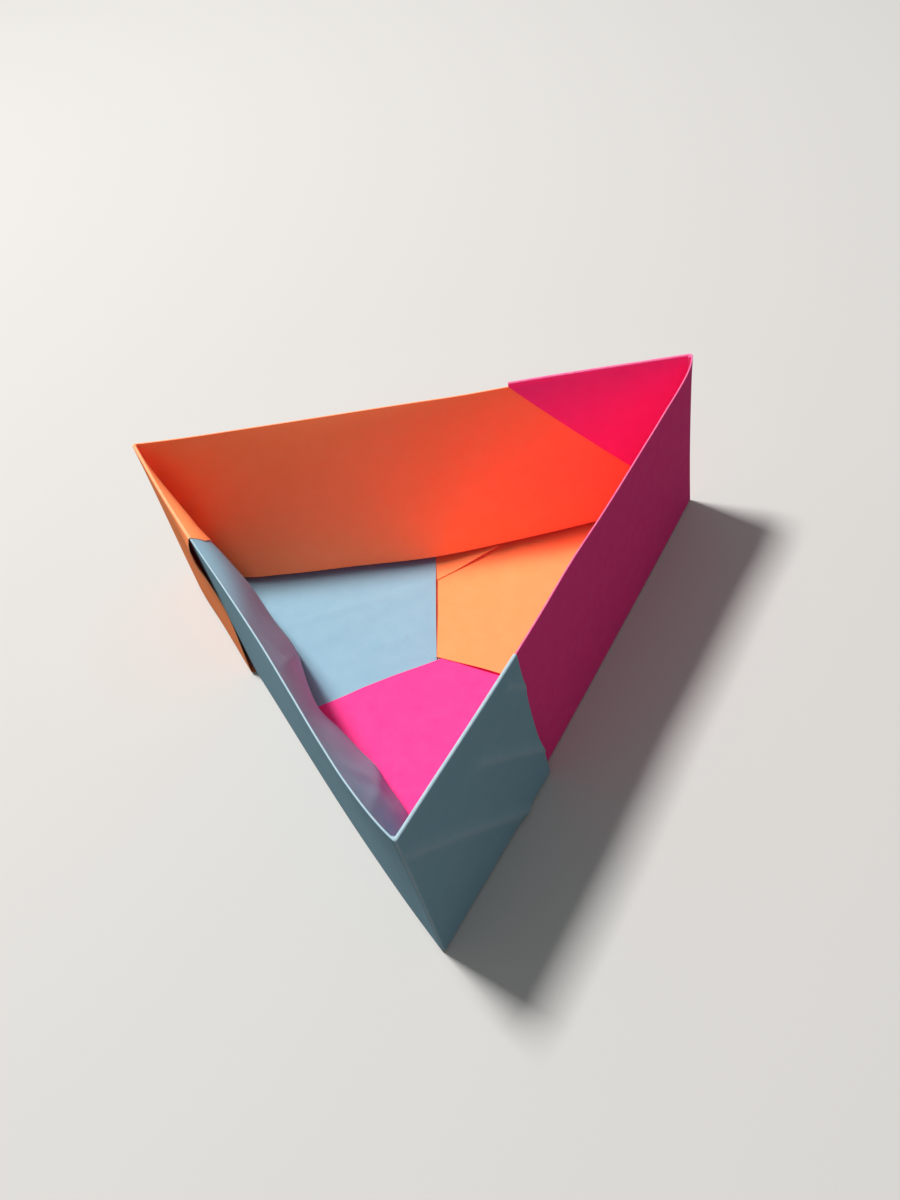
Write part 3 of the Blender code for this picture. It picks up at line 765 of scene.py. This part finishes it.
# What hand folding made different on each sheet. The lines are (place along the wall, plan offset)
# points: rim_line and foot_line for the outer layer, where minus is outwards, lining_line for the
# inner layer's raw edge at the height lining_foot, and rim_gape for how far the rim fold gapes.
# standoff_line and gape_line are (height, distance) points up the flap's free edge. A crease is its
# start, its end, its height and its width. seam_shift moves the wall's end of the base seam. Pink
# stands beside blue, because the blue flap has to follow the pink wall.
blue = SimpleNamespace(
    turn=-60.0,
    phase=0.13,
    rim_line=((0.0, 0.0), (0.0216, -0.0008), (0.0360, -0.0009), (0.0520, -0.0008), (0.0680, -0.0009),
              (0.0800, -0.0013), (0.0920, -0.0017), (0.1000, -0.0017), (0.1050, -0.0013),
              (0.1090, -0.0007), (0.1125, 0.0)),
    foot_line=((0.0, 0.0), (0.0050, -0.0009), (0.0100, -0.0011), (0.0200, -0.0009), (0.0375, -0.0009),
               (0.0900, -0.0010), (0.1020, -0.0006), (0.1125, 0.0)),
    lining_line=((0.0, 0.0006), (0.0100, 0.0054), (0.0160, 0.0070), (0.0295, 0.0076), (0.0384, 0.0081),
                 (0.0421, 0.0075), (0.0493, 0.0060), (0.0553, 0.0053), (0.0624, 0.0064),
                 (0.0696, 0.0073), (0.0751, 0.0081), (0.0782, 0.0079), (0.0878, 0.0078),
                 (0.0980, 0.0054), (0.1100, 0.0006)),
    lining_foot=0.0013,
    lining_slant=0.88,
    rim_gape=((0.0, 0.0), (0.0360, 0.0036), (0.0440, 0.0029), (0.0530, 0.0015), (0.0620, 0.0)),
    lining_creases=(
        ((0.0400, 0.0), (0.0738, 0.0375), 0.00035, 0.0012),
        ((0.0751, 0.0), (0.1070, 0.0375), 0.00035, 0.0012),
    ),
    flap_creases=(
        ((0.0011, 0.0318), (0.0309, -0.0020), 0.0006, 0.0013),
        ((0.0210, 0.0269), (0.0396, 0.0059), 0.0006, 0.0012),
        ((0.0314, 0.0336), (0.0384, 0.0251), 0.0004, 0.0010),
    ),
    base_creases=(
        ((0.0305, 0.0085), (0.0408, 0.0402), 0.00020, 0.0014),
        ((0.0480, 0.0225), (0.0500, 0.0285), 0.00020, 0.0006),
    ),
    standoff_line=((0.0, 0.0014), (0.0012, 0.0014), (0.0144, 0.0007), (0.0293, 0.0003), (0.0375, 0.0)),
    gape_line=((0.0, 0.0), (0.0375, 0.0)),
    tip_drop=0.0005,
    corner_rise=0.0,
    tongue_lift=0.0,
    seam_shift=0.0,
)
pink = SimpleNamespace(
    turn=60.0,
    phase=0.47,
    rim_line=((0.0, 0.0), (0.0200, -0.0008), (0.0436, -0.0012), (0.0560, -0.0011), (0.0680, -0.0015),
              (0.0860, -0.0017), (0.0960, -0.0018), (0.1026, -0.0019), (0.1060, -0.0017),
              (0.1085, -0.0013), (0.1105, -0.0008), (0.1125, 0.0)),
    foot_line=((0.0, 0.0), (0.0300, -0.0001), (0.1000, -0.0001), (0.1125, 0.0)),
    lining_foot=0.0013,
    lining_slant=0.88,
    rim_gape=((0.0, 0.0), (0.1125, 0.0)),
    lining_line=((0.0, 0.0006), (0.0150, 0.0050), (0.0400, 0.0068), (0.0700, 0.0072), (0.0950, 0.0050),
                 (0.1100, 0.0006)),
    lining_creases=(),
    flap_creases=(),
    base_creases=(((0.0520, 0.0273), (0.0420, 0.0140), 0.00022, 0.0020),),
    standoff_line=((0.0, 0.0010), (0.0144, 0.0005), (0.0293, 0.0002), (0.0375, 0.0)),
    gape_line=((0.0, 0.0), (0.0375, 0.0)),
    tip_drop=0.0005,
    corner_rise=0.0008,
    tongue_lift=0.0,
    seam_shift=0.0029,
)
# Colour, deeper colour of the clouds, paler colour of the folds (worn fibres, and a painted highlight
# on the flap's old fold lines), light that comes through, and red gain (above 1 a painted red glow).
SKY_PAPER = ("#A0CDE1", "#93C2D8", "#DCEDF5", "#7FB2D6", 1.0)
sheet_object = fold_sheet("blue_sheet_folded", blue, pink)
sheet_object.data.materials[0] = dyed_paper("sky_blue_dyed_paper", *SKY_PAPER, 0.31)
sheet_object.data.materials[1] = cut_edge("sky_blue_paper_cut_edge", "#B5D6E6")
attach(sheet_object, "root")
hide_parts("blue_sheet")

# Pink sheet: the same fold in magenta-pink paper. It makes the right wall, whose rim bulges out and
# rises towards the back corner, the flap that grips the orange wall, and the front third of the base.
# Its flap has to follow the orange wall, so the orange sheet's lines stand here too.
orange = SimpleNamespace(
    turn=180.0,
    phase=0.81,
    rim_line=((0.0, 0.0), (0.0170, -0.0003), (0.0349, -0.0001), (0.0440, 0.0003), (0.0567, 0.0003),
              (0.0876, 0.0005), (0.1040, 0.0004), (0.1125, 0.0)),
    foot_line=((0.0, 0.0), (0.0300, -0.0002), (0.0800, -0.0002), (0.1125, 0.0)),
    lining_foot=0.0021,
    lining_slant=0.6,
    rim_gape=((0.0, 0.0), (0.0350, 0.0004), (0.1125, 0.0)),
    lining_line=((0.0, 0.0006), (0.0110, 0.0028), (0.0215, 0.0047), (0.0400, 0.0072), (0.0555, 0.0087),
                 (0.0743, 0.0082), (0.0900, 0.0077), (0.1000, 0.0066), (0.1060, 0.0036),
                 (0.1100, 0.0006)),
    lining_creases=(),
    flap_creases=(),
    base_creases=(),
    standoff_line=((0.0, 0.0008), (0.0080, 0.0005), (0.0180, 0.0), (0.0375, 0.0)),
    gape_line=((0.0, 0.0), (0.0200, 0.0), (0.0265, 0.0006), (0.0325, 0.0013), (0.0360, 0.0008),
               (0.0375, 0.0)),
    tip_drop=0.0020,
    corner_rise=0.0,
    tongue_lift=0.0008,
    seam_shift=0.0014,
)
MAGENTA_PAPER = ("#FF52AC", "#F4429F", "#FFADD0", "#FF1F80", 1.2)
sheet_object = fold_sheet("pink_sheet_folded", pink, orange)
sheet_object.data.materials[0] = dyed_paper("magenta_dyed_paper", *MAGENTA_PAPER, 0.67)
sheet_object.data.materials[1] = cut_edge("magenta_paper_cut_edge", "#F876B4")
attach(sheet_object, "root")
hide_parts("pink_sheet")

# Orange sheet: the same fold in orange paper. It makes the back wall, the flap that grips the blue
# wall and springs off it at its free edge, the right third of the base, and a tongue whose tip lifts.
ORANGE_PAPER = ("#FFB675", "#FFAA64", "#FFD3A6", "#FF4E1C", 1.4)
sheet_object = fold_sheet("orange_sheet_folded", orange, blue)
sheet_object.data.materials[0] = dyed_paper("orange_dyed_paper", *ORANGE_PAPER, 0.05)
sheet_object.data.materials[1] = cut_edge("orange_paper_cut_edge", "#FBB77C")
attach(sheet_object, "root")
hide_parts("orange_sheet")

# Floor: a plain pale table top under the tray, painted matt.
FLOOR_HALF = 4.0  # half the side
FLOOR_DROP = 0.00003  # keeps the floor clear of the paper that lies on it
floor_corners = np.array([(-1.0, -1.0, 0.0), (1.0, -1.0, 0.0), (1.0, 1.0, 0.0), (-1.0, 1.0, 0.0)])
floor_corners = FLOOR_HALF * floor_corners - (0.0, 0.0, FLOOR_DROP)
floor_mesh = bpy.data.meshes.new("floor")
floor_mesh.from_pydata(floor_corners, [], [(0, 1, 2, 3)])
floor = bpy.data.objects.new("floor", floor_mesh)
bpy.context.scene.collection.objects.link(floor)
paint = bpy.data.materials.new("pale_matt_paint")
paint.use_nodes = True
paint_tree = paint.node_tree
# The eye sees pale paint, while the light that the table throws back is that of a darker one, so
# that the tray's outer faces stay in shade.
seen = add_node(paint_tree, "LightPath").outputs["Is Camera Ray"]
paint_colour = add_node(
    paint_tree, "Mix", {0: seen, 6: linear("#6E6A66"), 7: linear("#CDCDCC")}, data_type="RGBA"
).outputs[2]
paint_tree.links.new(paint_colour, paint_tree.nodes["Principled BSDF"].inputs["Base Color"])
paint_tree.nodes["Principled BSDF"].inputs["Roughness"].default_value = 0.9
floor_mesh.materials.append(paint)

# Studio light: a soft window of light high at the left and a little behind, so that the shadow falls
# to the right, a weak fill from the front right, and a pale room all round.
def area_light(name, place, aim, size, watts, colour):
    """A square lamp at place that faces aim."""
    lamp = bpy.data.lights.new(name, "AREA")
    lamp.color = linear(colour)[:3]
    lamp.size = size
    lamp.energy = watts
    lamp_object = bpy.data.objects.new(name, lamp)
    bpy.context.scene.collection.objects.link(lamp_object)
    lamp_object.location = place
    lamp_object.rotation_euler = (Vector(aim) - Vector(place)).to_track_quat("-Z", "Y").to_euler()


area_light("window", (-0.40, 0.33, 1.10), (0.0, 0.0, 0.0), 0.22, 16.6, "#FFFCF8")
area_light("front_fill", (0.5, -1.0, 0.7), (0.0, 0.0, 0.02), 0.9, 0.3, "#FFFFFF")
room = bpy.data.worlds.new("room")
room.use_nodes = True
room.node_tree.nodes["Background"].inputs["Color"].default_value = linear("#F2F2F0")
room.node_tree.nodes["Background"].inputs["Strength"].default_value = 0.25
bpy.context.scene.world = room

# Camera: in front of the front corner, above it and a little to the right, held by hand.
FRAME_HEIGHT_PX = 1200.0
FOCAL_PX = 1081.1
SENSOR_HEIGHT = 36.0
camera = bpy.data.objects.new("camera", bpy.data.cameras.new("camera"))
bpy.context.scene.collection.objects.link(camera)
camera.data.sensor_fit = "VERTICAL"
camera.data.sensor_height = SENSOR_HEIGHT
camera.data.lens = FOCAL_PX / FRAME_HEIGHT_PX * SENSOR_HEIGHT
camera.data.clip_start = 0.01
right = Vector((0.98495503, -0.02067879, -0.17156916))
up = Vector((0.13070956, 0.7385868, 0.66136567))
turn = Matrix((right, up, right.cross(up))).transposed().to_4x4()
camera_place = Vector((0.02846481, -0.14127234, 0.1665437))
camera.matrix_world = Matrix.Translation(camera_place) @ turn
bpy.context.scene.camera = camera
bpy.context.scene.view_settings.view_transform = "Standard"
